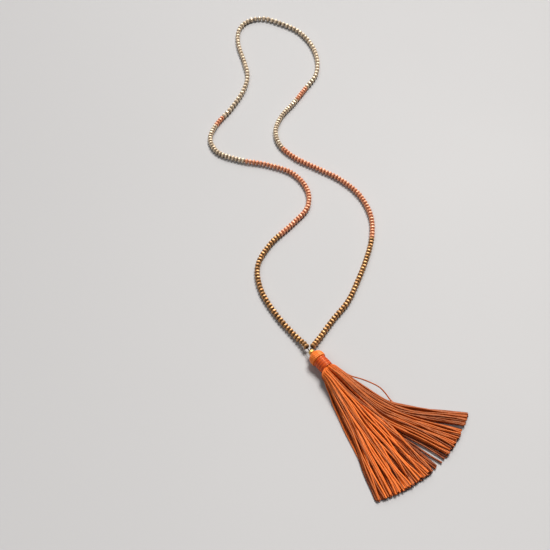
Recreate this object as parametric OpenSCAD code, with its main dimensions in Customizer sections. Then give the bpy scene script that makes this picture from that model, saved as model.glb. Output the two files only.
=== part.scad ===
// Tassel necklace: a long loop of small cut beads with a silky tassel, laid flat on a surface.
// Millimetres, +Z up. The origin is the middle of the footprint, at the surface that it lies on.

/* [Beads] */
// Diameter across a bead's belt
bead_d = 4; // [3.2:0.1:5]
// Length of a bead along the thread
bead_t = 2.5; // [2:0.05:3]
// Flat belt of a bead, along the thread
bead_belt = 0.8; // [0.4:0.1:1.2]
// Diameter of a bead's flat end face
bead_face_d = 2.3; // [2:0.1:2.8]
// Mean gap between neighbouring beads
bead_gap = 0.3; // [0.2:0.05:0.6]
// Bore through a bead
bead_bore = 1.2; // [1.1:0.05:1.5]
// Diameter of the thread
thread_d = 0.7; // [0.5:0.05:0.8]

/* [Colour runs] */
// Bronze beads nearest the tassel, right and left
bronze_count = [38, 40];
// Coral beads above them, right and left
coral_count = [43, 40];
// Champagne beads above those, right and left
champagne_count = [22, 20];
// Short coral accent before the back of the loop, right and left
accent_count = [6, 4];

/* [Collector bead] */
// Diameter of the gold bead that both threads pass through
collector_d = 4.2; // [3.6:0.1:5]
// Length of the gold bead
collector_t = 2.8; // [2.4:0.1:3.6]
// Bare thread between the gold bead and the middle of the first bead of each side
first_bead_lead = 4.6; // [4.4:0.1:6]

/* [Tassel head] */
// Diameter of the gathered threads inside the band and the cap
core_d = 8; // [7.4:0.1:8.6]
// Thickness of the cap round the gathered threads
cap_wall = 1.1; // [0.9:0.05:1.6]
// Length of the cap
cap_len = 6.2; // [5.4:0.1:8]
// Length of the cap's rounded top
dome_len = 3.8; // [3:0.1:4.4]
// Thickness of the cap's top, at its thread hole
cap_top = 1.9; // [1.2:0.1:2.4]
// Thickness of the wound band below the cap
band_wall = 0.45; // [0.35:0.05:0.7]
// Length of the wound band
band_len = 7.8; // [6:0.1:10]
// Turns of thread that show on the band
band_turns = 10; // [6:1:14]
// Depth of the grooves between those turns
turn_groove = 0.12; // [0.06:0.02:0.2]
// Clearance between pieces that hold each other
fit = 0.15; // [0.1:0.05:0.25]

/* [Tassel skirt] */
// Length of the skirt from the band to its cut ends
skirt_len = 92; // [70:1:110]
// Height of the skirt where it swells below the band
swell_h = 10; // [8.5:0.1:11]
// Height of the skirt half way down
mid_h = 6.4; // [5:0.1:8]
// Height of the skirt at its cut ends
end_h = 3.4; // [2.6:0.1:5]
// Width of one lock half way down
mid_lock_w = 5.2; // [4.8:0.1:6]
// Width of one full lock at its cut end
end_lock_w = 8; // [7:0.1:8.6]
// Direction of the tassel's head on the surface, in degrees from +X
head_dir = -52; // [-70:1:-30]

/* [Hidden] */

// Sides of the swept solids and steps of their splines
thread_sides = 6;
string_sides = 10;
spline_steps = 8;
string_ring_beads = 3;

// Derived sizes
bead_r = bead_d / 2;
bead_pitch = bead_t + bead_gap;
core_r = core_d / 2;
sleeve_d = core_d + 2 * fit;
cap_d = sleeve_d + 2 * cap_wall;
band_d = sleeve_d + 2 * band_wall;
axis_z = cap_d / 2;
rise = axis_z - bead_r;
strand_offset = (thread_d + fit) / 2;
pair_bore = 2 * (strand_offset + thread_d / 2 + fit);

// Route of the string, from the right of the tassel round the back to its left:
// x, y and the share of the rise from a lying bead up to the tassel's axis
meet = [-11.5, -127];
ROUTE = [
    [-8.5, -121.5, 0.5], [-4.5, -115, 0.12], [5, -100, 0.02], [15, -86, 0], [23, -68, 0],
    [30, -49, 0], [35.5, -28, 0], [36, -7, 0], [28.5, 14, 0], [14.5, 30, 0],
    [-3, 42, 0], [-19, 53, 0], [-30.5, 67, 0], [-33.5, 83, 0], [-29, 99, 0],
    [-19, 115, 0], [-9, 133, 0], [0, 150, 0], [2, 170, 0], [-3, 192, 0],
    [-14, 210, 0], [-29, 221, 0], [-45, 228, 0], [-58, 224, 0], [-65.5, 212, 0],
    [-66, 193, 0], [-60, 167, 0], [-57, 149, 0], [-60, 131, 0], [-70, 108, 0],
    [-81, 89, 0], [-85, 73, 0], [-78.5, 58.5, 0], [-61, 50, 0], [-40, 45, 0],
    [-21, 36, 0], [-10, 19, 0], [-10, 1, 0], [-21, -15, 0], [-37, -34, 0],
    [-46, -54, 0], [-44, -74, 0], [-34, -95, 0.02], [-20, -114.5, 0.12], [-14.5, -121.5, 0.5]
];

// Locks of the skirt, from its right edge to its left. Directions in degrees from the head's axis
// close to the band, half way down and at the cut ends, then shares of the skirt's length, of a
// full lock's width at its end and of the skirt's height
LOCK_NEAR = 0;
LOCK_MID = 1;
LOCK_END = 2;
LOCK_LEN = 3;
LOCK_W = 4;
LOCK_H = 5;
LOCKS = [
    [19, 19.5, 31, 1, 0.72, 0.8],
    [14, 16, 27.8, 0.98, 0.7, 0.9],
    [9, 12, 21.6, 0.99, 0.98, 0.95],
    [4, 8.2, 16.8, 1, 1, 1],
    [-1, 4.6, 11.9, 0.99, 0.98, 1],
    [-6, 1, 4.7, 0.99, 0.96, 1],
    [-11, -2.8, -0.1, 1, 1, 1],
    [-16, -6.6, -4.9, 0.98, 1, 1],
    [-22, -10.6, -9.6, 1, 1, 0.95],
    [-28, -14.6, -14.3, 0.99, 1, 0.9],
    [-34, -18.6, -18.7, 1, 0.96, 0.8]
];
near_first = LOCKS[0][LOCK_NEAR];
near_last = LOCKS[len(LOCKS) - 1][LOCK_NEAR];
// Where the near row lies, as a share of the skirt's length
near_share = 0.12;
// Stations of a lock's rings, as shares of its length
LOCK_STATIONS = [0, 0.025, 0.06, 0.11, 0.18, 0.28, 0.42, 0.58, 0.78, 1];
// Section of a lock: x as a share of its half width, z as a share of its height
LOCK_SECTION = [
    [0.72, 0], [1, 0.28], [0.94, 0.62], [0.6, 0.92], [0, 1],
    [-0.6, 0.92], [-0.94, 0.62], [-1, 0.28], [-0.72, 0]
];

// Places on the head's axis, measured along it from where the two threads meet
head_axis = [cos(head_dir), sin(head_dir)];
head_side = [-head_axis.y, head_axis.x];
collector_at = bead_gap + fit + collector_t / 2;
cap_at = collector_at + collector_t / 2 + fit;
band_at = cap_at + cap_len + fit;
skirt_at = band_at + band_len + fit;
core_top_at = cap_at + cap_top + 2 * fit;

// A smooth curve through points, with the same steps in each stretch. The slope at a point weighs
// its two neighbours by the square roots of their distances, so uneven spacing makes no loops
function chord(a, b) = sqrt(norm(b - a));
function slope(a, b, c, span) =
    span * ((b - a) / chord(a, b) - (c - a) / (chord(a, b) + chord(b, c)) + (c - b) / chord(b, c));
function blend(b, c, m, n, t) =
    b + (c - b) * t * t * (3 - 2 * t) + m * t * (1 - t) * (1 - t) - n * t * t * (1 - t);
function curve(points, steps) =
    let (last = len(points) - 1, p = concat(
        [2 * points[0] - points[1]], points, [2 * points[last] - points[last - 1]]
    ))
    [
        for (i = [1:last], k = [0:steps - 1])
            let (span = chord(p[i], p[i + 1]))
                blend(
                    p[i], p[i + 1],
                    slope(p[i - 1], p[i], p[i + 1], span), slope(p[i], p[i + 1], p[i + 2], span),
                    k / steps
                ),
        points[last]
    ];
function lengths(p) = [
    for (i = 0, s = 0; i < len(p); i = i + 1, s = s + (i < len(p) ? norm(p[i] - p[i - 1]) : 0)) s
];
function unit(v) = v / norm(v);

// Path of the thread: up from inside the cap, round the route, and down into the cap again
function head_point(along, side) = [
    meet.x + head_axis.x * along + head_side.x * side * strand_offset,
    meet.y + head_axis.y * along + head_side.y * side * strand_offset,
    axis_z
];
thread_top_at = cap_at + cap_top;
right_stub = [for (a = [thread_top_at, collector_at, 0]) head_point(a, 1)];
left_stub = [for (a = [0, collector_at, thread_top_at]) head_point(a, -1)];
spline = curve(
    concat(right_stub, [for (p = ROUTE) [p.x, p.y, bead_r + rise * p.z]], left_stub),
    spline_steps
);
path = [for (p = spline) [p.x, p.y, max(p.z, bead_r)]];
path_s = lengths(path);
path_len = path_s[len(path) - 1];
path_x = [for (i = [0:len(path) - 1]) [path_s[i], path[i].x]];
path_y = [for (i = [0:len(path) - 1]) [path_s[i], path[i].y]];
path_z = [for (i = [0:len(path) - 1]) [path_s[i], path[i].z]];
function at(s) = [lookup(s, path_x), lookup(s, path_y), lookup(s, path_z)];
function heading(s) = unit(at(s + bead_t / 2) - at(s - bead_t / 2));

// Middles of the beads of one side, counted from the tassel: side 0 is the right, side 1 the left
lead = thread_top_at + first_bead_lead;
function bead_s(side, i) = side == 0 ? lead + i * bead_pitch : path_len - lead - i * bead_pitch;
function count_before(run, side) = run == 0 ? 0 : RUNS[run - 1][side] + count_before(run - 1, side);
RUNS = [bronze_count, coral_count, champagne_count, accent_count];
string_from = bead_s(0, count_before(4, 0) - 1) + bead_t / 2 + bead_gap;
string_to = bead_s(1, count_before(4, 1) - 1) - bead_t / 2 - bead_gap;
string_rings = ceil((string_to - string_from) / (string_ring_beads * bead_pitch));
string_stations = [for (i = [0:string_rings]) string_from + (string_to - string_from) * i / string_rings];

// Middle of the footprint, from the beads, the back string and the cut ends of the skirt
skirt_origin = [meet.x + head_axis.x * skirt_at, meet.y + head_axis.y * skirt_at];
bead_stations = [for (side = [0, 1], i = [0:count_before(4, side) - 1]) bead_s(side, i)];
foot = concat(
    [for (s = concat(bead_stations, string_stations), e = [-bead_r, bead_r]) at(s) + [e, e, 0]],
    [for (l = LOCKS, q = lock_ring(l, 1))
        skirt_origin + [q.x * head_axis.x + q.y * head_side.x, q.x * head_axis.y + q.y * head_side.y]]
);
foot_x = [for (p = foot) p.x];
foot_y = [for (p = foot) p.y];
foot_mid = [(min(foot_x) + max(foot_x)) / 2, (min(foot_y) + max(foot_y)) / 2, 0];

// One lock: its centre line, width, height and lowest point at a share t of its length
function polar(r, a) = [r * cos(a), r * sin(a)];
function lock_line(l) = curve([
    [0, core_r * 0.6 * (2 * l[LOCK_NEAR] - near_first - near_last) / (near_first - near_last)],
    polar(near_share * skirt_len, l[LOCK_NEAR]),
    polar(0.5 * skirt_len, l[LOCK_MID]),
    polar(skirt_len * l[LOCK_LEN], l[LOCK_END])
], 12);
function lock_at(l, t) =
    let (p = lock_line(l), s = lengths(p), n = len(p) - 1, d = t * s[n])
    [lookup(d, [for (i = [0:n]) [s[i], p[i].x]]), lookup(d, [for (i = [0:n]) [s[i], p[i].y]])];
function lock_heading(l, t) =
    let (v = lock_at(l, min(1, t + 0.02)) - lock_at(l, max(0, t - 0.02)))
    atan2(v.y, v.x) * min(1, 2 * t / near_share);
function lock_w(l, t) = lookup(t, [
    [0, core_r * 0.8], [near_share, core_r], [0.5, mid_lock_w], [1, end_lock_w * l[LOCK_W]]
]);
function lock_h(l, t) = l[LOCK_H] * lookup(t, [
    [0, core_d * 0.9], [near_share / 2, swell_h], [near_share, swell_h], [0.5, mid_h], [1, end_h]
]);
function lock_base(l, t) = lookup(t, [
    [0, axis_z - core_d * 0.45 * l[LOCK_H]], [near_share / 3, axis_z * 0.11],
    [near_share / 2, axis_z * 0.02], [near_share, 0], [1, 0]
]);
function lock_ring(l, t) =
    let (c = lock_at(l, t), a = lock_heading(l, t), w = lock_w(l, t) / 2)
    let (h = lock_h(l, t), b = lock_base(l, t))
    [for (q = LOCK_SECTION) [c.x - q.x * w * sin(a), c.y + q.x * w * cos(a), b + q.y * h]];

// Closed solid through a row of rings, each with the same number of points
module sweep(rings) {
    sides = len(rings[0]);
    last = (len(rings) - 1) * sides;
    faces = concat(
        [[for (k = [0:sides - 1]) k]],
        [[for (k = [sides - 1:-1:0]) last + k]],
        [for (i = [0:len(rings) - 2], k = [0:sides - 1], half = [0, 1])
            let (a = i * sides + k, b = i * sides + (k + 1) % sides)
            half == 0 ? [a, a + sides, b] : [b, a + sides, b + sides]]
    );
    polyhedron(points = [for (ring = rings) each ring], faces = faces, convexity = 10);
}

// Tube along the path, with rings square to it and one corner of each at its lowest point
module tube_along(stations, r, sides) {
    sweep([
        for (s = stations)
            let (p = at(s), u = heading(s), side = unit([-u.y, u.x, 0]), up = cross(u, side))
            [for (k = [0:sides - 1])
                let (a = 360 * k / sides) p + r * (side * sin(a) - up * cos(a))]
    ]);
}

// A cut bead: flat belt, two sloping crowns, two small end faces and a bore
module rondelle(d, t, belt, face_d, bore) {
    rotate_extrude($fn = 48)
        polygon([
            [bore / 2, -t / 2], [face_d / 2, -t / 2], [d / 2, -belt / 2],
            [d / 2, belt / 2], [face_d / 2, t / 2], [bore / 2, t / 2]
        ]);
}

module along(place, v) {
    translate(place)
        rotate([0, acos(v.z), atan2(v.y, v.x)])
            children();
}

// Beads of one colour run, on both sides of the loop
module bead_run(run) {
    for (side = [0, 1], i = [0:RUNS[run][side] - 1])
        let (s = bead_s(side, count_before(run, side) + i))
            along(at(s), heading(s))
                rondelle(bead_d, bead_t, bead_belt, bead_face_d, bead_bore);
}

// The head's frame: its z axis runs from where the threads meet towards the skirt
module on_head(place) {
    translate([meet.x, meet.y, axis_z])
        rotate([0, 90, head_dir])
            translate([0, 0, place])
                children();
}

module bronze_beads() {
    color("#a9834f") translate(-foot_mid) bead_run(0);
}

module coral_beads() {
    color("#d98a6c") translate(-foot_mid) bead_run(1);
}

module champagne_beads() {
    color("#d9c9ae") translate(-foot_mid) bead_run(2);
}

module coral_accents() {
    color("#cf8a70") translate(-foot_mid) bead_run(3);
}

// Back of the loop: a string of champagne beads as one tube
module back_string() {
    color("#d9c9ae")
        translate(-foot_mid)
            tube_along(string_stations, bead_r, string_sides);
}

// Rings of the thread lie in the middle of each bead
module thread_side(side) {
    beads = count_before(4, side);
    head_rings = [for (i = [0:5]) i * (lead - bead_pitch / 2) / 5];
    near = concat(head_rings, [for (i = [0:beads - 1]) lead + i * bead_pitch]);
    far = lead + beads * bead_pitch - bead_pitch / 2 - fit;
    stations = concat(near, [far]);
    tube_along(
        side == 0 ? stations : [for (i = [len(stations) - 1:-1:0]) path_len - stations[i]],
        thread_d / 2, thread_sides
    );
}

module thread() {
    color("#8a6a4a")
        translate(-foot_mid) {
            thread_side(0);
            thread_side(1);
        }
}

module collector_bead() {
    color("#e8c66a")
        translate(-foot_mid)
            on_head(collector_at)
                rondelle(collector_d, collector_t, collector_t * 0.4, pair_bore + 0.7, pair_bore);
}

// Rounded cap with a hole for the threads and a socket for the gathered core
module tassel_cap() {
    dome_steps = 7;
    rim = 0.5;
    dome = [
        for (i = [0:dome_steps])
            let (a = 90 * i / dome_steps)
                [pair_bore / 2 + 0.6 + (cap_d / 2 - pair_bore / 2 - 0.6) * sin(a), dome_len * (1 - cos(a))]
    ];
    color("#e0692b")
        translate(-foot_mid)
            on_head(cap_at)
                rotate_extrude($fn = 64)
                    polygon(concat(
                        [[pair_bore / 2, 0]],
                        dome,
                        [[cap_d / 2, cap_len - rim], [cap_d / 2 - rim, cap_len]],
                        [[sleeve_d / 2, cap_len], [sleeve_d / 2, cap_top], [pair_bore / 2, cap_top]]
                    ));
}

// Band round the core, with a groove between each two turns of its thread
module neck_band() {
    turn = band_len / band_turns;
    profile = [
        for (i = [0:band_turns - 1], side = [0, 1])
            [band_d / 2 - turn_groove * (1 - side), turn * (i + side / 2)]
    ];
    color("#c4551f")
        translate(-foot_mid)
            on_head(band_at)
                rotate_extrude($fn = 64)
                    polygon(concat(
                        [[sleeve_d / 2, 0]],
                        profile,
                        [[band_d / 2 - turn_groove, band_len], [sleeve_d / 2, band_len]]
                    ));
}

// One lock, from the band down to its cut end
module lock(l) {
    for (i = [0:len(LOCK_STATIONS) - 2])
        hull()
            sweep([lock_ring(l, LOCK_STATIONS[i]), lock_ring(l, LOCK_STATIONS[i + 1])]);
}

// Skirt: locks fused to the core that the band and the cap hold
module tassel_skirt() {
    color("#dd6a2c")
        translate(-foot_mid) {
            on_head(core_top_at)
                cylinder(d = core_d, h = skirt_at - core_top_at + near_share * skirt_len / 2, $fn = 32);
            translate([skirt_origin.x, skirt_origin.y, 0])
                rotate([0, 0, head_dir])
                    for (l = LOCKS)
                        lock(l);
        }
}

bronze_beads();
coral_beads();
champagne_beads();
coral_accents();
back_string();
thread();
collector_bead();
tassel_cap();
neck_band();
tassel_skirt();
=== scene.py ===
"""Tassel necklace: a long loop of small cut beads with a silky tassel, lying on a pale floor.

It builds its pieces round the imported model, in metres, +Z up, with the origin in the middle of
the footprint at the surface that the necklace lies on.
"""

import math

import bpy
import numpy as np
from bpy.props import FloatProperty, FloatVectorProperty, IntProperty, PointerProperty
from mathutils import Euler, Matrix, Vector


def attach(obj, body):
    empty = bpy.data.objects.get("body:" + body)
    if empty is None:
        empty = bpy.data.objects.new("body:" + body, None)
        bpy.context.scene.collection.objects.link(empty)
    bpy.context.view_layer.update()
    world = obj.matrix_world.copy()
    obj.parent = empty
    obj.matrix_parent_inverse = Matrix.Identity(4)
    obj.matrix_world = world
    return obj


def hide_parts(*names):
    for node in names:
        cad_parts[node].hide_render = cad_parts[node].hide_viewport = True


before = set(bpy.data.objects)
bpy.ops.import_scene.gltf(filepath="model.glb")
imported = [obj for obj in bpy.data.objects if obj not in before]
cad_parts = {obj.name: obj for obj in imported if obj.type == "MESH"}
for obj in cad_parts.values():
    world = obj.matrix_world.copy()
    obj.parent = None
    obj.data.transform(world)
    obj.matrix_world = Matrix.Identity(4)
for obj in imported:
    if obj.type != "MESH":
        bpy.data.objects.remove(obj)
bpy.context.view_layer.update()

bl_info = {
    "name": "Tassel Necklace",
    "version": (1, 0, 0),
    "blender": (4, 5, 0),
    "location": "3D View > Sidebar > Tassel Necklace",
    "description": "Builds a long beaded necklace with a silky tassel, laid on a floor",
    "category": "Add Mesh",
}

TURN = 2 * math.pi
GOLDEN = (math.sqrt(5) - 1) / 2

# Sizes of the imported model, in metres, and the way of the tassel's axis on the floor, from +X
BEAD_D = 0.004
BEAD_T = 0.0025
BEAD_BELT = 0.0008
BEAD_FACE_D = 0.0023
BEAD_GAP = 0.0003
BEAD_BORE = 0.0012
THREAD_D = 0.0007
FIT = 0.00015
COLLECTOR_D = 0.0042
COLLECTOR_T = 0.0028
FIRST_BEAD_LEAD = 0.0046
CORE_D = 0.008
CAP_WALL = 0.0011
CAP_LEN = 0.0062
CAP_TOP = 0.0019
CAP_RIM = 0.0005
DOME_LEN = 0.0038
BAND_WALL = 0.00045
BAND_LEN = 0.0078
SKIRT_LEN = 0.092
SWELL_H = 0.010
MID_H = 0.0064
END_H = 0.0034
HEAD_DIR = math.radians(-52)

# Beads of each run, right and left of the tassel
RUNS = {"bronze": (38, 40), "coral": (43, 40), "champagne": (22, 20), "accent": (6, 4)}

# Sizes that follow from them
BEAD_PITCH = BEAD_T + BEAD_GAP
BEAD_R = BEAD_D / 2
SLEEVE_D = CORE_D + 2 * FIT
CAP_D = SLEEVE_D + 2 * CAP_WALL
BAND_D = SLEEVE_D + 2 * BAND_WALL
AXIS_Z = CAP_D / 2
STRAND_OFFSET = (THREAD_D + FIT) / 2
PAIR_BORE = 2 * (STRAND_OFFSET + THREAD_D / 2 + FIT)
COLLECTOR_BELT = 0.4 * COLLECTOR_T
COLLECTOR_FACE_D = PAIR_BORE + 0.0007
COLLECTOR_AT = BEAD_GAP + FIT + COLLECTOR_T / 2
CAP_AT = COLLECTOR_AT + COLLECTOR_T / 2 + FIT
BAND_AT = CAP_AT + CAP_LEN + FIT
SKIRT_AT = BAND_AT + BAND_LEN + FIT
THREAD_TOP_AT = CAP_AT + CAP_TOP
LEAD = THREAD_TOP_AT + FIRST_BEAD_LEAD

# The route of the string before the footprint is centred, from the right of the tassel round the
# back to its left: x, y and the share of the rise from a lying bead up to the tassel's axis. The
# two sides meet at MEET, FOOT_MID is the footprint's middle, and each stretch has STEPS steps
FOOT_MID = (-0.000638, 0.000321, 0)
MEET = (-0.0115, -0.127)
STEPS = 8
ROUTE = [
    (-0.0085, -0.1215, 0.5), (-0.0045, -0.115, 0.12), (0.005, -0.1, 0.02), (0.015, -0.086, 0),
    (0.023, -0.068, 0), (0.03, -0.049, 0), (0.0355, -0.028, 0), (0.036, -0.007, 0),
    (0.0285, 0.014, 0), (0.0145, 0.03, 0), (-0.003, 0.042, 0), (-0.019, 0.053, 0),
    (-0.0305, 0.067, 0), (-0.0335, 0.083, 0), (-0.029, 0.099, 0), (-0.019, 0.115, 0),
    (-0.009, 0.133, 0), (0, 0.15, 0), (0.002, 0.17, 0), (-0.003, 0.192, 0),
    (-0.014, 0.21, 0), (-0.029, 0.221, 0), (-0.045, 0.228, 0), (-0.058, 0.224, 0),
    (-0.0655, 0.212, 0), (-0.066, 0.193, 0), (-0.06, 0.167, 0), (-0.057, 0.149, 0),
    (-0.06, 0.131, 0), (-0.07, 0.108, 0), (-0.081, 0.089, 0), (-0.085, 0.073, 0),
    (-0.0785, 0.0585, 0), (-0.061, 0.05, 0), (-0.04, 0.045, 0), (-0.021, 0.036, 0),
    (-0.01, 0.019, 0), (-0.01, 0.001, 0), (-0.021, -0.015, 0), (-0.037, -0.034, 0),
    (-0.046, -0.054, 0), (-0.044, -0.074, 0), (-0.034, -0.095, 0.02), (-0.02, -0.1145, 0.12),
    (-0.0145, -0.1215, 0.5),
]

# How the skirt spreads, from its right edge to its left. Directions from the head's axis in
# degrees: at the cut ends, half way and near the band. Shares: of the bundle's half width below
# the band, and of the skirt's height
SPREAD = np.array([
    (34.2, 23, 36, 1.05, 0.7), (31, 19.5, 30, 0.82, 0.8), (27.8, 16, 22, 0.58, 0.9),
    (21.6, 12, 12, 0.35, 0.95), (16.8, 8.2, 4.5, 0.12, 1), (11.9, 4.6, -3.5, -0.12, 1),
    (4.7, 1, -9, -0.28, 1), (-0.1, -3.1, -14, -0.42, 1), (-4.9, -7.2, -19, -0.56, 1),
    (-9.6, -11.5, -24.5, -0.69, 0.95), (-14.3, -15.8, -30, -0.81, 0.9),
    (-18.7, -20, -36, -0.92, 0.8), (-23.1, -24.2, -42, -1.05, 0.7),
])
NEAR_SHARE = 0.12

# Clumps of the skirt: the directions of their first and last cut ends in degrees, their share of
# the yarns, the side of the parting that they lie on, and how bright they are, a painted shade
# that darkens the right and middle clumps
CLUMPS = {
    "right": (33.1, 26.4, 0.16, 1, 0.4), "middle": (24.4, 11.6, 0.27, 1, 0.6),
    "left": (11, -21.8, 0.57, -1, 1),
}

# The parting on top of the skirt: along the head's axis from the band, to its side, and half of
# its width
PARTING = np.array([
    (0, -0.0012, 0), (0.003, -0.0012, 0.0006), (0.009, -0.0006, 0.0013), (0.018, 0, 0.0014),
    (0.030, 0.0012, 0.0009), (0.046, 0.0042, 0),
])

# Loose yarns beside the skirt: along the head's axis from the band, to its side, and height
STRAYS = [
    [(-0.004, 0.002, 0.0052), (0.001, 0.0036, 0.0060), (0.0070, 0.0056, 0.0062),
     (0.0135, 0.0080, 0.0060), (0.0195, 0.0118, 0.0060), (0.0245, 0.0145, 0.0058),
     (0.0305, 0.0170, 0.0052), (0.0355, 0.0175, 0.0042), (0.041, 0.0172, 0.0032),
     (0.050, 0.0185, 0.0022), (0.062, 0.024, 0.0014), (0.075, 0.036, 0.0010)],
    [(-0.004, -0.002, 0.0045), (0.002, -0.0050, 0.004), (0.008, -0.0078, 0.0032),
     (0.0145, -0.0100, 0.0022), (0.0205, -0.0124, 0.0014), (0.0285, -0.0150, 0.0009),
     (0.039, -0.0185, 0.0008), (0.050, -0.0216, 0.0007), (0.0625, -0.0252, 0.0007),
     (0.076, -0.0298, 0.0007), (0.086, -0.0325, 0.0007)],
    [(-0.004, -0.0015, 0.0035), (0.002, -0.0045, 0.003), (0.009, -0.0074, 0.002),
     (0.019, -0.0110, 0.001), (0.030, -0.0147, 0.0006), (0.044, -0.0190, 0.0006),
     (0.058, -0.0231, 0.0006), (0.072, -0.0277, 0.0006), (0.085, -0.0313, 0.0006)],
]
# Tints of the loose yarns; the first, on the right, is darker, a painted shade.
STRAY_TINTS_AND_SHADE = [0.4, 0.8, 0.5]
STRAY_ROWS = 60
STRAY_THINNESS = 0.72  # share of a yarn's thickness

# How a bead differs from the next: its roll in radians, small enough to keep a facet on top, and
# the least share of its full size
BEAD_ROLL = 0.25
LEAST_BEAD = 0.965

# How the yarns of the skirt lie
YARN_ROWS = 46  # points along a yarn below the band
ROW_CROWDING = 1.3  # power that draws these points to the band
BUNDLE_R = 0.75 * CORE_D  # half width of the yarns' bundle just below the band
BUNDLE_H = 0.9 * CORE_D  # and its height there
BUNDLE_SHIFT = 0.0006  # how far it moves to the left as it swells
BUNDLE_SWELL = (0.6, 0.25)  # how much it swells to its sides and up, as shares of its disc
BUNDLE_ROUND = 0.9  # how round its section is, from 0 for square to 1 for a disc
SWELL_LEN = 0.003  # the way below the band in which it swells
TUCK = 0.0006  # how far inside the band's edge the yarns start to part
BUNCH_YARNS = (4, 12)  # least number of yarns in a bunch, and one more than the most
BUNCH_PULL = (0.05, 0.45)  # least and most share of the way that they draw together
BUNCH_DRIFT = 0.45  # strength of a bunch's drift to its sides, in degrees
YARN_DRIFT = 0.35  # and of one yarn's
HEIGHT_DRIFT = 0.10  # strength of a yarn's drift in height, as a share of it
YARN_WAVES = 2.6  # side waves along a yarn
NEAR_TONE = 0.95  # tone that all the yarns have near the band
OWN_TONES = (0.1, 1.15)  # least and most tone of a yarn further down
# Painted shade on the yarns that lie deepest in a clump:
DEEPEST_SHADE_TONE = 0.1  # share of its tone that the deepest yarn keeps

# Heights, each after the way down the skirt as a share of its length: of the lowest yarns, as a
# share of the axis's, and of the skirt's top above them
LOWEST = np.array([(0, 0.5), (NEAR_SHARE / 3, 0.08), (NEAR_SHARE, 0)])
TOP = np.array([
    (0, BUNDLE_H), (NEAR_SHARE / 2, SWELL_H), (NEAR_SHARE, SWELL_H), (0.5, MID_H), (1, END_H),
])

# Soft steps, each from where it starts to where it is full. Down a yarn, as shares of its length:
# how its bunch draws together, how it drifts, leaves the bundle, thickens and waves
BUNCH_WAY = (0.03, 0.43)
DRIFT_WAY = (0, 0.35)
FAN_WAY = (0.025, 0.125)
THICK_WAY = (0, 0.3)
WAVE_WAY = (0, 0.6)

# Down a yarn, as shares of its points: how it takes its own tone
TONE_WAY = (0, 0.4)

# Up the skirt, as shares of its height: how a yarn follows its bunch, how it drifts with it and
# how it moves to its bank of the parting. Down from the top: how the deeper yarns darken, a
# painted shade
BUNCH_HEIGHTS = (0, 0.5)
DRIFT_HEIGHTS = (0, 0.6)
PARTED_HEIGHTS = (0.1, 0.3)
SHADE_DEPTHS = (1 / 6, 13 / 18)

# Corners round a yarn and round the beads' thread, and the most by which the uv of two yarns
# starts apart, in metres
YARN_SIDES = 6
THREAD_SIDES = 8
UV_START = 0.13

# The cap: width of the flat ring round its hole, columns of its grid to one fold, how far the
# folds slant in radians to the metre, the depth of the creases between them, and how far outside
# the ring they are at their full depth
RING_WIDTH = 0.0006
FOLD_COLUMNS = 8
FOLD_SLANT = 60
FOLD_DEPTH = 0.0003
FOLD_REACH = 0.3 * CAP_D

# The band: columns round it, rows to one turn, the depth of the groove between two turns, the
# power that makes the turns full and the grooves narrow, half of what its middle is thicker than
# its ends, and about the way once round it
BAND_COLUMNS = 96
TURN_ROWS = 8
GROOVE_DEPTH = 0.00012
TURN_FULLNESS = 0.7
BAND_BELLY = 0.00006
BAND_ROUND = 0.03

SHARP_ANGLE = math.radians(75)


# Curves and places

def unit(v):
    """Vectors of length one."""
    return v / np.linalg.norm(v, axis=-1, keepdims=True)


def ease(x, start, end):
    """A soft step: 0 up to start and 1 from end on, and in between 3 t squared minus 2 t cubed.

    Here t is the share of the way from start to end.
    """
    t = np.clip((x - start) / (end - start), 0, 1)
    return t * t * (3 - 2 * t)


def curve(points, params):
    """Points of a smooth curve through points, where param 1.5 lies half way from point 1 to 2.

    Between points b and c it is the cubic with slopes m and n there. A slope weighs the two
    neighbours of its point by the square roots of their distances.
    """
    p = np.asarray(points, float)
    p = np.concatenate([[2 * p[0] - p[1]], p, [2 * p[-1] - p[-2]]])
    i = np.minimum(params.astype(int), len(p) - 4)
    t = (params - i).reshape((-1,) + (1,) * (p.ndim - 1))
    a, b, c, d = p[i], p[i + 1], p[i + 2], p[i + 3]
    ab, bc, cd = (np.sqrt(np.linalg.norm(v, axis=-1, keepdims=True)) for v in (b - a, c - b, d - c))
    m = bc * ((b - a) / ab - (c - a) / (ab + bc) + (c - b) / bc)
    n = bc * ((c - b) / bc - (d - b) / (bc + cd) + (d - c) / cd)
    return b + (c - b) * t * t * (3 - 2 * t) + m * t * (1 - t) ** 2 - n * t * t * (1 - t)


def frames(headings):
    """For each heading, the level direction to its left and the direction square to both."""
    side = unit(np.stack([-headings[..., 1], headings[..., 0], 0 * headings[..., 0]], -1))
    return side, np.cross(headings, side)


class Line:
    """A row of points that is read by the distance along it."""

    def __init__(self, points):
        self.points = points
        steps = np.linalg.norm(np.diff(points, axis=0), axis=1)
        self.s = np.concatenate([[0], np.cumsum(steps)])
        self.length = self.s[-1]

    def at(self, s):
        """Points at the distances s, on the straight stretches between the row's points."""
        return np.stack([np.interp(s, self.s, self.points[:, k]) for k in range(3)], -1)

    def heading(self, s):
        """Directions at the distances s, over the length of one bead."""
        return unit(self.at(s + BEAD_T / 2) - self.at(s - BEAD_T / 2))


AXIS = np.array([math.cos(HEAD_DIR), math.sin(HEAD_DIR), 0])
SIDE = np.array([-AXIS[1], AXIS[0], 0])
UP = np.array([0, 0, 1])
HEAD = np.array([MEET[0], MEET[1], AXIS_Z]) - FOOT_MID


def head_place(along, side, up):
    """Places given by the distance along the head's axis, to its side and above it."""
    return HEAD + along[..., None] * AXIS + side[..., None] * SIDE + up[..., None] * UP


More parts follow.
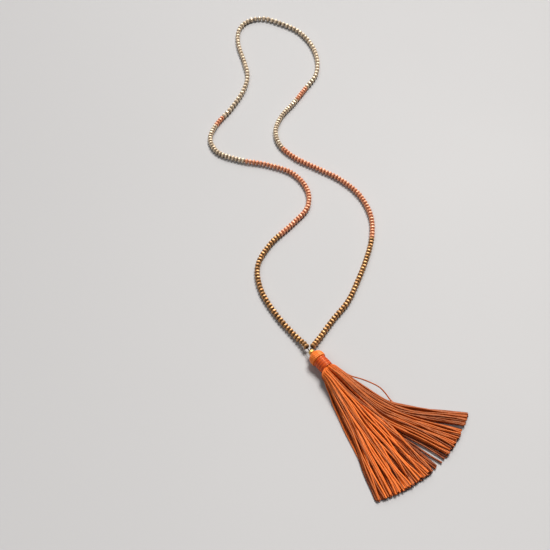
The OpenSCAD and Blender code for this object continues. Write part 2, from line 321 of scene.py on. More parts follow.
def string_line():
    """Line of the thread: up from inside the cap, round the route and down into the cap again."""
    stops = np.array([THREAD_TOP_AT, COLLECTOR_AT, 0])
    level = np.zeros(3)
    right = head_place(stops, level + STRAND_OFFSET, level)
    left = head_place(stops[::-1], level - STRAND_OFFSET, level)
    route = np.array(ROUTE)
    route[:, 2] = BEAD_R + route[:, 2] * (AXIS_Z - BEAD_R)
    points = np.concatenate([right, route - FOOT_MID, left])
    line = curve(points, np.arange((len(points) - 1) * STEPS + 1) / STEPS)
    line[:, 2] = np.maximum(line[:, 2], BEAD_R)
    return Line(line)


def run_stations(line, run):
    """Middles of the beads of one run, on both sides, as distances along the line."""
    names = list(RUNS)
    before = [sum(RUNS[n][side] for n in names[:names.index(run)]) for side in (0, 1)]
    right, left = (LEAD + BEAD_PITCH * (before[k] + np.arange(RUNS[run][k])) for k in (0, 1))
    return np.concatenate([right, line.length - left])


def back_stations(line, pitch):
    """Middles of the beads at the back, evenly between the two sides' last beads."""
    right, left = (LEAD + BEAD_PITCH * sum(r[k] for r in RUNS.values()) for k in (0, 1))
    first, last = right - BEAD_PITCH / 2, line.length - left + BEAD_PITCH / 2
    count = int((last - first) / pitch)
    return first + (last - first) * (np.arange(count) + 0.5) / count


# Meshes

def grid(rows, columns, closed=False):
    """Corner numbers, and row and column, of the quads of a grid that closes round its columns.

    With closed it closes round its rows too.
    """
    r, c = np.meshgrid(np.arange(rows if closed else rows - 1), np.arange(columns), indexing="ij")
    corners = [(r, c), (r, c + 1), (r + 1, c + 1), (r + 1, c)]
    index = np.stack([a % rows * columns + b % columns for a, b in corners], -1)
    place = np.stack([np.stack([a, b], -1) for a, b in corners], -2)
    return index.reshape(-1, 4), place.reshape(-1, 4, 2).astype(float)


def add_piece(name, points, faces, material, replaced, tint_and_shade=None, uv=None, smooth=True):
    """A mesh object from points and arrays of faces, riding on the necklace.

    Each array of faces has one row of corner numbers for each face. tint has a number for each
    point, and uv two for each corner. Without smooth, every face is flat.
    """
    mesh = bpy.data.meshes.new(name)
    mesh.vertices.add(len(points))
    mesh.vertices.foreach_set("co", points.astype(np.float32).ravel())
    corners = np.concatenate([f.ravel() for f in faces])
    sizes = np.concatenate([np.full(len(f), f.shape[1]) for f in faces])
    mesh.loops.add(len(corners))
    mesh.loops.foreach_set("vertex_index", corners.astype(np.int32))
    mesh.polygons.add(len(sizes))
    starts = np.concatenate([[0], np.cumsum(sizes)[:-1]])
    mesh.polygons.foreach_set("loop_start", starts.astype(np.int32))
    mesh.polygons.foreach_set("use_smooth", np.full(len(sizes), smooth))
    mesh.update(calc_edges=True)
    if smooth:
        mesh.set_sharp_from_angle(angle=SHARP_ANGLE)
    if uv is not None:
        mesh.uv_layers.new(name="UVMap").data.foreach_set("uv", uv.astype(np.float32).ravel())
    if tint_and_shade is not None:
        layer = mesh.attributes.new("tint_and_shade", "FLOAT", "POINT")
        layer.data.foreach_set("value", tint_and_shade.astype(np.float32))
    mesh.materials.append(material)
    piece = bpy.data.objects.new(name, mesh)
    bpy.context.scene.collection.objects.link(piece)
    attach(piece, "root")
    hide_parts(replaced)


def cut_bead(d, t, belt, face_d, bore, sides):
    """Points and faces of one cut bead, with its bore along the third axis.

    Six rings of corners: bore, end face, belt, belt, end face, bore. The belt's rings are turned
    by half a side, so triangles join them to the end faces, and they are the bead's crown facets.
    """
    radius = np.array([bore, face_d, d, d, face_d, bore]) / 2
    height = np.array([-t, -t, -belt, belt, t, t]) / 2
    shift = np.array([0, 0, 0.5, 0.5, 0, 0])
    k = np.arange(sides)
    angle = TURN * (k + shift[:, None]) / sides
    points = np.stack([
        radius[:, None] * np.cos(angle), radius[:, None] * np.sin(angle),
        np.repeat(height[:, None], sides, 1),
    ], -1).reshape(-1, 3)
    here, after = k, (k + 1) % sides

    def quads(low, high):
        return np.stack([low * sides + here, low * sides + after,
                         high * sides + after, high * sides + here], -1)

    lower = [np.stack([sides + here, sides + after, 2 * sides + here], -1),
             np.stack([sides + after, 2 * sides + after, 2 * sides + here], -1)]
    upper = [np.stack([3 * sides + here, 4 * sides + after, 4 * sides + here], -1),
             np.stack([3 * sides + here, 3 * sides + after, 4 * sides + after], -1)]
    return points, [
        np.concatenate([quads(0, 1), quads(2, 3), quads(4, 5), quads(5, 0)]),
        np.concatenate(lower + upper),
    ]


def string_beads(name, line, stations, bead_t, material, replaced, seed):
    """Cut beads at the stations of a line, each with its own roll, small tilt, size and tint.

    A bead's points are turned into the line's frame there, whose two cross directions turn by
    the roll: the first is the level one times the cosine of the roll plus the upward one times
    its sine. A smaller bead sinks until it lies on the floor as the others do. The tint is high
    round the belt and low at the end faces, a painted shade in the gaps between beads, and a
    random share of it is the bead's own tone.
    """
    rng = np.random.default_rng(seed)
    sizes = bpy.context.scene.tassel_necklace
    count = len(stations)
    points, faces = cut_bead(BEAD_D, bead_t, BEAD_BELT, BEAD_FACE_D, BEAD_BORE, sizes.bead_sides)
    heading = line.heading(stations)
    side, up = frames(heading)
    limit = 2 * sizes.bead_tilt
    tilt = rng.normal(0, sizes.bead_tilt, (count, 2)).clip(-limit, limit)
    heading = unit(heading + tilt[:, :1] * side + tilt[:, 1:] * up)
    side, up = frames(heading)
    roll = rng.uniform(-BEAD_ROLL, BEAD_ROLL, (count, 1))
    first = np.cos(roll) * side + np.sin(roll) * up
    second = np.cross(heading, first)
    scale = rng.uniform(LEAST_BEAD, 1, (count, 1, 1))
    basis = np.stack([first, second, heading], 1)
    placed = line.at(stations)[:, None] + scale * (points @ basis)
    placed[..., 2] -= (1 - scale[..., 0]) * BEAD_R
    shift = (np.arange(count) * len(points))[:, None, None]
    faces = [(f[None] + shift).reshape(-1, f.shape[1]) for f in faces]
    # Painted shade: the end faces are darker than the belt, as the gaps between beads are; a quarter
    # of the tint is each bead's own random tone.
    belt = np.hypot(points[:, 0], points[:, 1]) > (BEAD_D + BEAD_FACE_D) / 4
    tint_and_shade = (0.25 * rng.uniform(0, 1, (count, 1)) + 0.75 * belt).ravel()
    add_piece(
        name, placed.reshape(-1, 3), faces, material, replaced, tint_and_shade=tint_and_shade, smooth=False
    )


def tubes(lines, radii, sides):
    """Points, faces and uv of closed tubes round many lines at once.

    At each point of a line lies a ring of corners, square to the line: the point, plus the radius
    times the cosine and the sine of the corner's angle in the two directions of its frame. The uv
    is the share of a turn and the distance along in metres, which starts at a number of its own
    for each line, so that the fibres of two neighbours differ.
    """
    count, rows = lines.shape[:2]
    side, up = frames(unit(np.gradient(lines, axis=1)))
    angle = TURN * np.arange(sides) / sides
    spoke = side[:, :, None] * np.sin(angle)[:, None] - up[:, :, None] * np.cos(angle)[:, None]
    points = lines[:, :, None] + radii[:, :, None, None] * spoke
    steps = np.linalg.norm(np.diff(lines, axis=1), axis=2)
    start = UV_START * (np.arange(count)[:, None] * GOLDEN % 1)
    along = start + np.concatenate([np.zeros((count, 1)), np.cumsum(steps, axis=1)], 1)
    index, place = grid(rows, sides)
    shift = (np.arange(count) * rows * sides)[:, None, None]
    walls = (index + shift).reshape(-1, 4)
    row, column = place[..., 0].astype(int), place[..., 1]
    wall_uv = np.stack([np.broadcast_to(column / sides, (count,) + column.shape), along[:, row]], -1)
    ends = np.stack([np.arange(sides)[::-1], (rows - 1) * sides + np.arange(sides)])
    ends = (ends + shift).reshape(-1, sides)
    end_uv = np.zeros((ends.size, 2))
    uv = np.concatenate([wall_uv.reshape(-1, 2), end_uv])
    return points.reshape(-1, 3), [walls, ends], uv


def turned(profile_along, profile_radius, columns):
    """Points, faces and uv of a closed ring round the head's axis.

    profile_along and profile_radius give, for each row and column, the distance along the axis
    and from it. The rows go once round the section.
    """
    rows = len(profile_along)
    angle = TURN * np.arange(columns) / columns
    along = np.broadcast_to(profile_along, (rows, columns))
    points = head_place(along, profile_radius * np.cos(angle), profile_radius * np.sin(angle))
    index, place = grid(rows, columns, closed=True)
    row = place[..., 0].astype(int) % rows
    uv = np.stack([place[..., 1] / columns, along[row, 0]], -1)
    return points.reshape(-1, 3), [index], uv


# Shader nodes

class Value:
    """A socket of a node tree that takes part in Python arithmetic."""

    def __init__(self, tree, socket):
        self.tree, self.socket = tree, socket

    def math(self, operation, a, b=0.0):
        """A math node on two values or numbers."""
        return self.tree.node("ShaderNodeMath", {"operation": operation}, {0: a, 1: b})

    def __add__(self, other):
        return self.math("ADD", self, other)

    __radd__ = __add__

    def __sub__(self, other):
        return self.math("SUBTRACT", self, other)

    def __rsub__(self, other):
        return self.math("SUBTRACT", other, self)

    def __mul__(self, other):
        return self.math("MULTIPLY", self, other)

    def sine(self):
        return self.math("SINE", self)

    def held(self):
        """The value, held between 0 and 1."""
        return self.math("MINIMUM", self.math("MAXIMUM", self), 1.0)


class Tree:
    """The node tree of a new material or sky, with one method that adds any node."""

    def __init__(self, owner, surface):
        owner.use_nodes = True
        self.owner = owner
        self.nodes = owner.node_tree.nodes
        self.links = owner.node_tree.links
        self.surface = self.nodes[surface]

    def fill(self, node, inputs):
        """Links a node's inputs to values, and sets those that are plain."""
        for key, value in inputs.items():
            if isinstance(value, Value):
                self.links.new(value.socket, node.inputs[key])
            else:
                node.inputs[key].default_value = value

    def node(self, kind, settings, inputs, output=0):
        """A new node, with its settings made first, and the value of one of its outputs."""
        node = self.nodes.new(kind)
        for key, value in settings.items():
            setattr(node, key, value)
        self.fill(node, inputs)
        return Value(self, node.outputs[output])

    def coordinates(self, output):
        return self.node("ShaderNodeTexCoord", {}, {}, output)

    def attribute(self, name):
        return self.node("ShaderNodeAttribute", {"attribute_name": name}, {}, "Fac")

    def noise(self, vector, scale, detail):
        return self.node(
            "ShaderNodeTexNoise", {}, {"Vector": vector, "Scale": scale, "Detail": detail}
        )

    def stretched(self, vector, scale):
        return self.node("ShaderNodeMapping", {}, {"Vector": vector, "Scale": scale})

    def mix(self, factor, a, b):
        """A colour between a and b, which are sockets 6 and 7 of the node. Output 2 is theirs."""
        return self.node("ShaderNodeMix", {"data_type": "RGBA"}, {0: factor, 6: a, 7: b}, 2)

    def separate(self, vector, output):
        return self.node("ShaderNodeSeparateXYZ", {}, {"Vector": vector}, output)

    def bump(self, height, distance, strength):
        return self.node(
            "ShaderNodeBump", {}, {"Height": height, "Distance": distance, "Strength": strength}
        )


def paint(name):
    """The node tree of a new material."""
    return Tree(bpy.data.materials.new(name), "Principled BSDF")


def shade(colour, level):
    """A colour times a level, with its alpha kept at 1."""
    return (colour[0] * level, colour[1] * level, colour[2] * level, 1)


def deep(colour, level):
    """The shade of a colour in hollows: its square times a level."""
    return shade([part * part for part in colour], level)


def cut_glass(name, colour, dark, metallic, roughness, coat):
    """Coated cut glass, darker round the bores in a painted shade of the gaps between beads, with
    its own tint for each bead and faint specks.

    dark is the level of its darkest painted shade, and coat the weight of its clear coat.
    """
    tree = paint(name)
    tint_and_shade = tree.attribute("tint_and_shade")
    specks = tree.noise(tree.coordinates("Object"), scale=900.0, detail=3.0)
    # Painted shade: a low tint mixes the colour towards its painted shade in hollows; the specks are
    # the glass's own.
    depth = tint_and_shade * 0.9 + specks * 0.2
    tree.fill(tree.surface, {
        "Base Color": tree.mix(depth, deep(colour, dark), shade(colour, 1)),
        "Roughness": roughness + specks * 0.10,
        "Metallic": metallic,
        "Coat Weight": coat,
        "Coat Roughness": 0.22,
    })
    return tree.owner


def silk(name, colour, dark, twist, gloss):
    """Silky yarn: two strands wind round it, its colour drifts along it, and it has a soft sheen.

    The uv runs once round the yarn and along it in metres. The strands' height is the sine of an
    angle, two turns once round the yarn and twist turns to the metre, and the grooves between
    them are painted darker, a painted shade. dark is the level of the darkest painted shade, and
    gloss that of the highlights.
    """
    tree = paint(name)
    uv = tree.coordinates("UV")
    turn, along = tree.separate(uv, "X"), tree.separate(uv, "Y")
    tint_and_shade = tree.attribute("tint_and_shade")
    strands = ((turn * 2 + along * twist) * TURN).sine() * 0.5 + 0.5
    fibres = tree.noise(tree.stretched(uv, (24, 150, 1)), scale=1.0, detail=2.0)
    drift = tree.noise(tree.coordinates("Object"), scale=160.0, detail=1.0)
    # Painted shade: a low tint and the grooves between the strands mix the colour towards its
    # painted shade in hollows; drift and fibres are the yarn's own uneven tone.
    depth = tint_and_shade * 0.9 + drift * 0.3 + fibres * 0.3 + strands * 0.15 - 0.3
    tree.fill(tree.surface, {
        "Base Color": tree.mix(depth, deep(colour, dark), shade(colour, 1)),
        "Roughness": 0.32 + fibres * 0.2,
        "Normal": tree.bump(strands * 0.6 + fibres * 0.4, distance=0.00006, strength=0.8),
        "Sheen Weight": 0.2,
        "Sheen Roughness": 0.35,
        "Sheen Tint": shade(colour, 1.1),
        "Specular IOR Level": gloss,
        "Specular Tint": (1, 0.66, 0.40, 1),
    })
    return tree.owner


def floor_paint(name, colour):
    """Pale even floor with a faint unevenness in its gloss."""
    tree = paint(name)
    cloud = tree.noise(tree.coordinates("Object"), scale=3.0, detail=2.0)
    tree.fill(tree.surface, {"Base Color": (*colour, 1), "Roughness": 0.5 + cloud * 0.1})
    return tree.owner


# Settings of the pieces

def colour(name, description, default):
    """A colour that the user can change."""
    return FloatVectorProperty(
        name=name, description=description, subtype="COLOR", size=3, min=0, max=1, default=default
    )


def length(name, description, default, low, high):
    """A length in metres that the user can change."""
    return FloatProperty(
        name=name, description=description, unit="LENGTH", default=default, min=low, max=high,
        precision=5,
    )


class TasselNecklaceSettings(bpy.types.PropertyGroup):
    """Sizes and colours of the necklace's finer pieces."""

    bead_sides: IntProperty(
        name="Bead sides", description="Facets round one cut bead", default=8, min=6, max=12
    )
    back_pitch: length("Back pitch", "Spacing of the beads at the back", 0.0038, 0.0028, 0.0045)
    bead_tilt: FloatProperty(
        name="Bead tilt", description="How far the beads sit askew on their thread",
        subtype="ANGLE", default=0.03, min=0, max=0.05,
    )
    yarns: IntProperty(
        name="Yarns", description="Yarns in the tassel's skirt", default=210, min=60, max=400
    )
    yarn_d: length("Yarn", "Diameter of one yarn of the skirt", 0.00118, 0.0005, 0.0014)
    tucked_d: length("Tucked yarn", "Diameter of a yarn under the band", 0.00064, 0.0004, 0.001)
    wave: length("Wave", "How far a yarn waves to each side", 0.000385, 0, 0.001)
    ragged: length("Ragged ends", "How uneven the cut ends are", 0.0016, 0, 0.005)
    cap_folds: IntProperty(
        name="Cap folds", description="Yarns that show round the cap", default=30, min=16, max=60
    )
    band_turns: IntProperty(
        name="Band turns", description="Turns of thread round the band", default=20, min=8, max=30
    )
    bronze: colour("Bronze", "Coating of the bronze beads", (0.72, 0.385, 0.155))
    coral: colour("Coral", "Coating of the coral beads", (1.0, 0.45, 0.24))
    champagne: colour("Champagne", "Coating of the champagne beads", (1.0, 0.80, 0.57))
    gold: colour("Gold", "Coating of the collector bead", (0.90, 0.62, 0.17))
    string: colour("Thread", "Thread through the beads", (0.16, 0.09, 0.05))
    yarn: colour("Yarn colour", "Yarns of the tassel", (0.97, 0.20, 0.020))
    fold: colour("Cap colour", "Yarns folded over the cap", (1.0, 0.25, 0.03))
    winding: colour("Band colour", "Thread wound round the neck", (0.92, 0.15, 0.014))
    floor: colour("Floor", "Pale floor", (0.50, 0.50, 0.51))


# Operators, one for each group of like pieces

class NECKLACE_OT_beads(bpy.types.Operator):
    """Strings the cut beads of every colour run, the back of the loop too"""

    bl_idname = "necklace.beads"
    bl_label = "String the beads"

    def execute(self, context):
        look = context.scene.tassel_necklace
        line = string_line()
        bronze = cut_glass(
            "bronze_coating", look.bronze, dark=0.08, metallic=0.75, roughness=0.48, coat=0.1
        )
        coral = cut_glass(
            "coral_coating", look.coral, dark=0.5, metallic=0.3, roughness=0.45, coat=0.3
        )
        champagne = cut_glass(
            "champagne_coating", look.champagne, dark=0.2, metallic=0.4, roughness=0.4, coat=0.4
        )
        runs = [
            ("bronze", "bronze_cut_beads", bronze, "bronze_bead", "bronze_beads"),
            ("coral", "coral_cut_beads", coral, "coral_bead", "coral_beads"),
            ("champagne", "champagne_cut_beads", champagne, "champagne_bead", "champagne_beads"),
            ("accent", "coral_accent_beads", coral, "coral_bead", "coral_accents"),
        ]
        for seed, (run, name, finish, slot, node) in enumerate(runs):
            string_beads(name, line, run_stations(line, run), BEAD_T, finish, node, seed)
        string_beads(
            "back_cut_beads", line, back_stations(line, look.back_pitch),
            look.back_pitch - BEAD_GAP, champagne, "back_string",
            seed=len(runs),
        )
        return {"FINISHED"}


class NECKLACE_OT_thread(bpy.types.Operator):
    """Runs the thread through all the beads and into the tassel's cap"""

    bl_idname = "necklace.thread"
    bl_label = "Run the thread"

    def execute(self, context):
        """A tube with two rings to each bead."""
        look = context.scene.tassel_necklace
        line = string_line()
        rings = line.at(np.linspace(0, line.length, int(line.length / (BEAD_PITCH / 2))))
        radii = np.full((1, len(rings)), THREAD_D / 2)
        points, faces, uv = tubes(rings[None], radii, THREAD_SIDES)
        finish = silk("beading_thread", look.string, dark=0.7, twist=900.0, gloss=0.5)
        add_piece("beading_thread", points, faces, finish, "thread", uv=uv)
        return {"FINISHED"}


class NECKLACE_OT_collector(bpy.types.Operator):
    """Sets the gold bead where the two threads meet"""

    bl_idname = "necklace.collector"
    bl_label = "Set the collector bead"

    def execute(self, context):
        look = context.scene.tassel_necklace
        points, faces = cut_bead(
            COLLECTOR_D, COLLECTOR_T, COLLECTOR_BELT, COLLECTOR_FACE_D, PAIR_BORE, look.bead_sides
        )
        placed = head_place(COLLECTOR_AT + points[:, 2], points[:, 0], points[:, 1])
        finish = cut_glass(
            "gold_coating", look.gold, dark=0.5, metallic=0.8, roughness=0.48, coat=0.1
        )
        add_piece(
            "gold_cut_bead", placed, faces, finish, "collector_bead",
            tint_and_shade=np.full(len(placed), 0.6), smooth=False,
        )
        return {"FINISHED"}


class NECKLACE_OT_cap(bpy.types.Operator):
    """Folds yarns over the tassel's cap"""

    bl_idname = "necklace.cap"
    bl_label = "Fold the cap"

    def execute(self, context):
        """Section: hole, quarter-round dome, wall, rim and socket. A fold's height is the sine of
        its share of a turn, without its sign, so the creases between folds are sharp. Each fold
        has its own tint, a sine of its number."""
        look = context.scene.tassel_necklace
        quarter = np.linspace(0, math.pi / 2, 16)
        hole_r = PAIR_BORE / 2
        top_r = hole_r + RING_WIDTH
        dome = np.stack([
            DOME_LEN * (1 - np.cos(quarter)), top_r + (CAP_D / 2 - top_r) * np.sin(quarter)
        ], 1)
        wall = np.linspace(DOME_LEN, CAP_LEN - CAP_RIM, 6)[1:]
        rim = CAP_RIM * np.linspace(0, 1, 5)[1:]
        rim_r = CAP_D / 2 - CAP_RIM + np.sqrt(CAP_RIM ** 2 - rim ** 2)
        socket = [(CAP_LEN, SLEEVE_D / 2), (CAP_TOP, SLEEVE_D / 2), (CAP_TOP, hole_r)]
        section = np.concatenate([
            [(0, hole_r)], dome, np.stack([wall, np.full(len(wall), CAP_D / 2)], 1),
            np.stack([CAP_LEN - CAP_RIM + rim, rim_r], 1), socket,
        ])
        columns = look.cap_folds * FOLD_COLUMNS
        angle = TURN * np.arange(columns) / columns
        along, radius = section[:, :1], section[:, 1:]
        outside = np.arange(len(section))[:, None] < len(section) - len(socket)
        folded = ease(radius, top_r, top_r + FOLD_REACH) * outside
        crease = 1 - np.abs(np.sin(look.cap_folds / 2 * (angle + FOLD_SLANT * along)))
        radius = radius - folded * FOLD_DEPTH * crease
        points, faces, uv = turned(CAP_AT + along, radius, columns)
        uv[..., 0] *= look.cap_folds
        fold = np.arange(len(points)) % columns // FOLD_COLUMNS
        tint_and_shade = 0.84 + 0.2 * np.sin(fold * 2.4)
        finish = silk("cap_yarn", look.fold, dark=0.7, twist=500.0, gloss=0.7)
        add_piece(
            "folded_cap", points, faces, finish, "tassel_cap", tint_and_shade=tint_and_shade, uv=uv
        )
        return {"FINISHED"}


class NECKLACE_OT_band(bpy.types.Operator):
    """Winds the thread round the tassel's neck"""

    bl_idname = "necklace.band"
    bl_label = "Wind the band"

    def execute(self, context):
        """Section: bore, then a wall whose radius falls into a groove between two turns. A turn
        climbs by its own width in one round, so the wall is one long helix. Its uv runs along the
        thread, and two slow waves make the turns' tints uneven."""
        look = context.scene.tassel_necklace
        angle = TURN * np.arange(BAND_COLUMNS) / BAND_COLUMNS
        wall = np.linspace(0, BAND_LEN, look.band_turns * TURN_ROWS + 1)[:, None]
        phase = wall / BAND_LEN * look.band_turns - angle / TURN
        groove = GROOVE_DEPTH * (1 - np.abs(np.sin(math.pi * phase)) ** TURN_FULLNESS)
        belly = BAND_BELLY * np.cos(TURN * wall / BAND_LEN)
        outer = BAND_D / 2 - groove - belly - BAND_BELLY
        bore = np.full((1, BAND_COLUMNS), SLEEVE_D / 2)
        along = np.concatenate([[[0]], wall, [[BAND_LEN]]])
        radius = np.concatenate([bore, outer, bore])
        points, faces, uv = turned(BAND_AT + along, radius, BAND_COLUMNS)
        uv = uv[..., ::-1] * (look.band_turns / BAND_LEN, BAND_ROUND)
        turns = along / BAND_LEN * look.band_turns
        shades = 0.5 + 0.3 * np.sin(1.3 * turns) + 0.2 * np.sin(2.9 * turns)
        tint_and_shade = np.broadcast_to(shades, radius.shape).ravel()
        finish = silk("band_thread", look.winding, dark=0.5, twist=300.0, gloss=1.0)
        add_piece("wound_band", points, faces, finish, "neck_band", tint_and_shade=tint_and_shade, uv=uv)
        return {"FINISHED"}


def skirt_points(along, side, up):
    """Places in the skirt's frame: along the head's axis from the band, to its side, and above
    the floor."""
    return head_place(SKIRT_AT + along, side, up - AXIS_Z)


def skirt_courses(t):
    """Courses of the skirt's spread at the shares t of its length, along the axis and to its side.

    A course leaves the band at its share of the bundle's half width. It then passes, in its
    three directions, through a point near the band, one half way and one at the cut ends.
    """
    end, mid, near = np.radians(SPREAD[:, :3]).T
    start = BUNDLE_R * SPREAD[:, 3]
    stops = np.stack([np.stack([0 * start, start], -1)] + [
        share * SKIRT_LEN * np.stack([np.cos(way), np.sin(way)], -1)
        for share, way in ((NEAR_SHARE, near), (0.5, mid), (1, end))
    ])
    return curve(stops, np.interp(t, [0, NEAR_SHARE, 0.5, 1], [0, 1, 2, 3]))


def yarn_shares(width, count, down, rng):
    """Two numbers from 0 to 1 for each yarn of a clump: how far across it lies and how high.

    The first grows evenly from yarn to yarn, and the second goes by the golden ratio, so that
    neighbours differ. Yarns side by side draw together in bunches, the high ones most. Then both
    numbers drift down the yarn: each is half of one minus the cosine of an angle, which sways by
    the sum of two sines, so it turns back at 0 and 1. width is the clump's spread in degrees.
    """
    n = np.arange(count)
    bunch = np.searchsorted(np.cumsum(rng.integers(*BUNCH_YARNS, count)), n, side="right")
    share = (n + 0.5) / count
    bunch_share = (np.bincount(bunch, share) / np.bincount(bunch))[bunch]
    high = (0.5 + n * GOLDEN) % 1
    pull = rng.uniform(*BUNCH_PULL, count)[bunch] * ease(high, *BUNCH_HEIGHTS)
    share = share + (bunch_share - share) * pull * ease(down, *BUNCH_WAY)

    def drift(share, size, group):
        slow, quick, pace = rng.uniform(0, 1, (3, count))[:, group]
        angle = TURN * (slow + (0.5 + 0.6 * pace) * down)
        wander = np.sin(angle) + 0.35 * np.sin(3 * angle + TURN * quick)
        angle = np.arccos(1 - 2 * share) + math.pi * ease(down, *DRIFT_WAY) * size * wander
        return 0.5 - 0.5 * np.cos(angle)

    across = drift(share, BUNCH_DRIFT * ease(high, *DRIFT_HEIGHTS) / width, bunch)
    across = drift(across, YARN_DRIFT / width, n)
    above = drift(high, HEIGHT_DRIFT, n)
    return across, above


def bundle_places(place, above, along, look):
    """Side and height of the yarns near the band, where they lie on a disc.

    The side is the place times the disc's radius. The height is the number above, from minus one
    to one, times the radius and the root of one minus BUNDLE_ROUND times the place squared.
    Below the band the disc swells, more to its sides than up, and moves to the left.
    """
    disc = (CORE_D - look.tucked_d) / 2
    swell = 1 - np.clip(1 - along / SWELL_LEN, 0, 1) ** 2
    wide, high = (disc * (1 + share * swell) for share in BUNDLE_SWELL)
    side = wide * place - BUNDLE_SHIFT * swell
    reach = np.sqrt(1 - BUNDLE_ROUND * np.clip(place, -1, 1) ** 2)
    up = AXIS_Z + high * (2 * above - 1) * reach
    return side, up


def parted(side, along, above, bank):
    """The yarns' distances to the side, with all but the lowest moved to their bank of the parting.

    A distance off the parting's middle, towards the bank, becomes half of the sum of itself and
    the root of its square plus the square of the parting's width. It is never less than nothing.
    """
    middle, half = (np.interp(along, PARTING[:, 0], PARTING[:, k]) for k in (1, 2))
    off = bank * (side - middle)
    opened = (off + np.sqrt(off ** 2 + 4 * half ** 2)) / 2
    return side + bank * (opened - off) * ease(above[0], *PARTED_HEIGHTS)


def clump_lines(first, last, bank, count, look, rng):
    """Lines of the yarns of one clump, from inside the band to their ends, their radii and depths.

    How far across a yarn lies gives its course between two of the skirt's courses, and how high
    gives its height between the lowest yarns and the skirt's top there. Near the band it lies on
    the bundle's disc, and it changes over softly to its course. Side waves are sines, and an end
    is shorter by a share of its own. Two more points lead each yarn up inside the band.
    """
    t = np.linspace(0, 1, YARN_ROWS) ** ROW_CROWDING
    down = t[:, None]
    across, above = yarn_shares(first - last, count, down, rng)
    way = first + across * (last - first)
    course = np.interp(-way, -SPREAD[:, 0], np.arange(len(SPREAD)))
    low = np.minimum(course.astype(int), len(SPREAD) - 2)
    part = (course - low)[..., None]
    courses = skirt_courses(t)
    row = np.arange(YARN_ROWS)[:, None]
    centre = courses[row, low] * (1 - part) + courses[row, low + 1] * part
    along = centre[..., 0]

    place, level = (np.interp(course, np.arange(len(SPREAD)), SPREAD[:, k]) for k in (3, 4))
    height = level * np.interp(down, *TOP.T)
    lowest = AXIS_Z * np.interp(down, *LOWEST.T)
    thick = look.tucked_d + (look.yarn_d - look.tucked_d) * ease(down, *THICK_WAY)
    radius = np.broadcast_to(thick / 2, course.shape)
    up = lowest + radius + above * (height - 2 * radius)

    bundle_side, bundle_up = bundle_places(place, above, along, look)
    fanned = ease(down, *FAN_WAY)
    side = bundle_side * (1 - fanned) + centre[..., 1] * fanned
    up = np.maximum(bundle_up * (1 - fanned) + up * fanned, radius)
    side = parted(side, along, above, bank)
    kinks = rng.uniform(0, TURN, count)
    waves = np.sin(TURN * YARN_WAVES * down + kinks)
    side = side + look.wave * ease(down, *WAVE_WAY) * waves
    along = along * (1 - rng.uniform(0, look.ragged / SKIRT_LEN, count) * down)
    tucked = [skirt_points(0 * along[0] - back, side[0], up[0]) for back in (BAND_LEN, TUCK)]
    lines = np.concatenate([tucked, skirt_points(along, side, up)]).transpose(1, 0, 2)
    radii, depths = (np.concatenate([v[:1], v[:1], v]).T for v in (radius, 1 - above))
    return lines, radii, depths


class NECKLACE_OT_skirt(bpy.types.Operator):
    """Hangs the yarns of the tassel's skirt, clump by clump, and its few loose yarns"""

    bl_idname = "necklace.skirt"
    bl_label = "Hang the skirt"

    def execute(self, context):
        """A yarn that lies deep in its clump is darker, a painted shade. Near the band all have one
        tone, and further down each has its own, times its clump's tone, a painted shade too."""
        look = context.scene.tassel_necklace
        rng = np.random.default_rng(11)
        finish = silk("skirt_yarn", look.yarn, dark=0.12, twist=1100.0, gloss=0.8)
        for clump, (first, last, share, bank, tone) in CLUMPS.items():
            count = round(look.yarns * share)
            lines, radii, depths = clump_lines(first, last, bank, count, look, rng)
            points, faces, uv = tubes(lines, radii, YARN_SIDES)
            # Painted shade: deeper yarns are darker, and so are the clumps whose tone is low.
            lit = 1 - (1 - DEEPEST_SHADE_TONE) * ease(depths, *SHADE_DEPTHS)
            own = tone * rng.uniform(*OWN_TONES, (count, 1))
            far = ease(np.linspace(0, 1, depths.shape[1]), *TONE_WAY)
            tint_and_shade = lit * (NEAR_TONE + (own - NEAR_TONE) * far)
            add_piece(
                "skirt_yarns_" + clump, points, faces, finish, "tassel_skirt",
                tint_and_shade=np.repeat(tint_and_shade, YARN_SIDES), uv=uv,
            )
        strays = [curve(np.array(s), np.linspace(0, len(s) - 1, STRAY_ROWS)) for s in STRAYS]
        lines = np.stack([skirt_points(s[:, 0], s[:, 1], s[:, 2]) for s in strays])
        radii = np.full(lines.shape[:2], look.yarn_d * STRAY_THINNESS / 2)
        points, faces, uv = tubes(lines, radii, YARN_SIDES)
        tint_and_shade = np.repeat(STRAY_TINTS_AND_SHADE, STRAY_ROWS * YARN_SIDES)
        add_piece(
            "skirt_yarns_loose", points, faces, finish, "tassel_skirt",
            tint_and_shade=tint_and_shade, uv=uv,
        )
        return {"FINISHED"}


# Where the camera stands, how far it looks down, and its focal length in image widths
CAMERA_PLACE = (-0.033362, -0.447321, 0.494)
CAMERA_DOWN = math.radians(52)
CAMERA_FOCAL = 900 / 550

# Soft lights: the way to each, its width in degrees, its strength and its colour
LIGHTS = {
    "key_light": ((0.56, 1.40, 2.20), 24, 3.35, (1, 0.97, 0.93)),
    "back_light": ((-0.2, 3.60, 2.20), 30, 0.7, (1, 0.98, 0.96)),
    "side_light": ((-1.5, -0.7, 1.8), 24, 0.5, (1, 0.98, 0.96)),
}

# The sky: its colour, its level high up and at the horizon, and the sine of the height at which
# it is down to the first
SKY_COLOUR = (0.72, 0.74, 0.78, 1)
SKY_LEVEL = 0.08
HORIZON_LEVEL = 0.7
HORIZON_HEIGHT = 0.25

# Half of the floor's side
FLOOR_REACH = 60.0


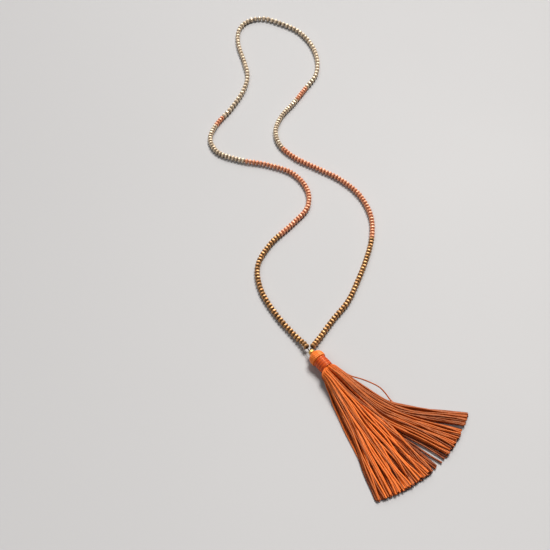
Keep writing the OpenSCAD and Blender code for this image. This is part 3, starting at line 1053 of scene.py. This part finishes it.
class NECKLACE_OT_stage(bpy.types.Operator):
    """Lays the floor and sets the lamps, the sky and the camera"""

    bl_idname = "necklace.stage"
    bl_label = "Set the stage"

    def execute(self, context):
        scene = context.scene
        look = scene.tassel_necklace
        mesh = bpy.data.meshes.new("floor")
        signs = ((-1, -1), (1, -1), (1, 1), (-1, 1))
        corners = [(x * FLOOR_REACH, y * FLOOR_REACH, 0) for x, y in signs]
        mesh.from_pydata(corners, [], [(0, 1, 2, 3)])
        mesh.materials.append(floor_paint("floor_paint", look.floor))
        floor = bpy.data.objects.new("floor", mesh)
        scene.collection.objects.link(floor)
        for name, (way, width, strength, tone) in LIGHTS.items():
            light = bpy.data.lights.new(name, "SUN")
            light.angle, light.energy, light.color = math.radians(width), strength, tone
            stand = bpy.data.objects.new(name, light)
            stand.location = way
            stand.rotation_euler = Vector(way).to_track_quat("Z", "Y").to_euler()
            scene.collection.objects.link(stand)
        sky = Tree(bpy.data.worlds.new("studio_sky"), "Background")
        height = sky.separate(sky.coordinates("Object"), "Z")
        glow = (1 - height * (1 / HORIZON_HEIGHT)).held()
        sky.fill(sky.surface, {
            "Color": SKY_COLOUR, "Strength": SKY_LEVEL + glow * (HORIZON_LEVEL - SKY_LEVEL),
        })
        scene.world = sky.owner
        scene.view_settings.view_transform = "Standard"
        camera = bpy.data.cameras.new("camera")
        camera.lens = CAMERA_FOCAL * camera.sensor_width
        camera.clip_start, camera.clip_end = 0.01, 50
        eye = bpy.data.objects.new("camera", camera)
        eye.location = CAMERA_PLACE
        eye.rotation_euler = Euler((math.pi / 2 - CAMERA_DOWN, 0, 0))
        scene.collection.objects.link(eye)
        scene.camera = eye
        return {"FINISHED"}


OPERATORS = (
    NECKLACE_OT_beads, NECKLACE_OT_thread, NECKLACE_OT_collector, NECKLACE_OT_cap,
    NECKLACE_OT_band, NECKLACE_OT_skirt, NECKLACE_OT_stage,
)


class NECKLACE_PT_panel(bpy.types.Panel):
    """Lists the necklace's settings and the steps that build it"""

    bl_idname = "NECKLACE_PT_panel"
    bl_label = "Tassel Necklace"
    bl_space_type = "VIEW_3D"
    bl_region_type = "UI"
    bl_category = "Tassel Necklace"

    def draw(self, context):
        look = context.scene.tassel_necklace
        for name in TasselNecklaceSettings.__annotations__:
            self.layout.prop(look, name)
        for operator in OPERATORS:
            self.layout.operator(operator.bl_idname)


CLASSES = (TasselNecklaceSettings, *OPERATORS, NECKLACE_PT_panel)


def register():
    """Adds the classes and the scene's settings."""
    for item in CLASSES:
        bpy.utils.register_class(item)
    bpy.types.Scene.tassel_necklace = PointerProperty(type=TasselNecklaceSettings)


def unregister():
    """Takes the settings and the classes away again."""
    del bpy.types.Scene.tassel_necklace
    for item in reversed(CLASSES):
        bpy.utils.unregister_class(item)


def main():
    register()
    bpy.ops.necklace.beads()
    bpy.ops.necklace.thread()
    bpy.ops.necklace.collector()
    bpy.ops.necklace.cap()
    bpy.ops.necklace.band()
    bpy.ops.necklace.skirt()
    bpy.ops.necklace.stage()
    bpy.context.view_layer.update()


if __name__ == "__main__":
    main()
